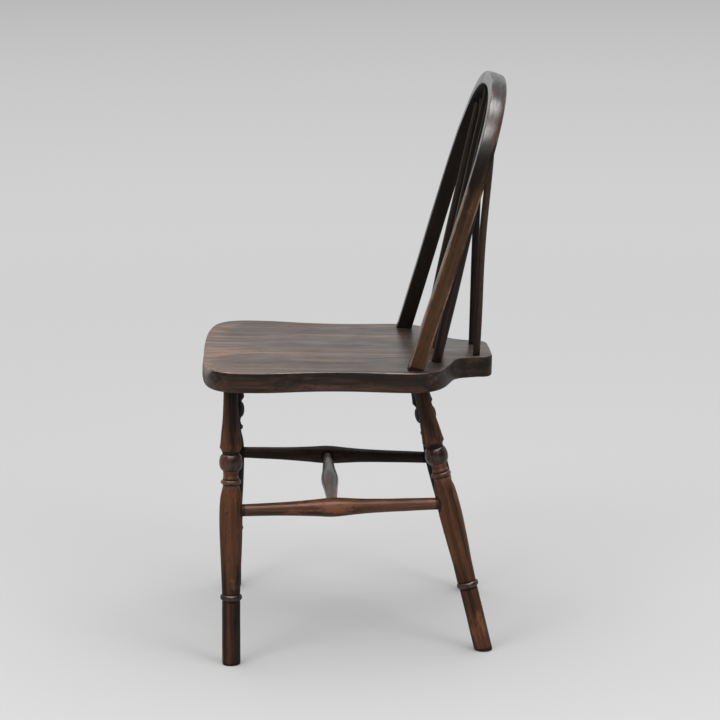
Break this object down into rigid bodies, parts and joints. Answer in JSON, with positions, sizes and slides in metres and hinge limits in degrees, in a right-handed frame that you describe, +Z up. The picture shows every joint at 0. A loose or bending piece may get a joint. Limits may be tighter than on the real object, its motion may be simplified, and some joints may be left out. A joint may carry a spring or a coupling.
{
  "type": "hoop-back stick chair",
  "caption": "Dark stained wooden side chair with a bent hoop back of plain sticks, braced from a tail on its shaped seat, on splayed turned legs joined by stretchers.",
  "frame": {"origin": "on the floor, below the middle of the chair's bounding box", "axes": "+Z up, -Y towards the front edge of the seat, +X towards the sitter's left"},
  "size_m": [0.4244, 0.448, 0.8321],
  "materials": {
    "seat_wood": "dark stained and waxed, rubbed grey brown on top, worn brown at the front and along the edges",
    "bent_wood": "dark stained and waxed, reddish brown where rubbed, thin pale wear along the edges",
    "turned_wood": "dark stained, turned, worn to reddish brown lower down, nearly black in the grooves",
    "stick_wood": "nearly black stain with a soft waxed sheen",
    "wedge_wood": "end grain of the wedged tenons, matt"
  },
  "bodies": {
    "root": {"seat": "seat_wood", "hoop": "bent_wood", "hoop_wedge_left": "wedge_wood", "hoop_wedge_right": "wedge_wood", "back_stick_1": "stick_wood", "back_stick_2": "stick_wood", "back_stick_3": "stick_wood", "back_stick_4": "stick_wood", "back_stick_5": "stick_wood", "brace_stick_left": "stick_wood", "brace_stick_right": "stick_wood", "leg_front_left": "turned_wood", "leg_front_right": "turned_wood", "leg_rear_left": "turned_wood", "leg_rear_right": "turned_wood", "side_stretcher_left": "turned_wood", "side_stretcher_right": "turned_wood", "cross_stretcher": "turned_wood"}
  },
  "joints": []
}
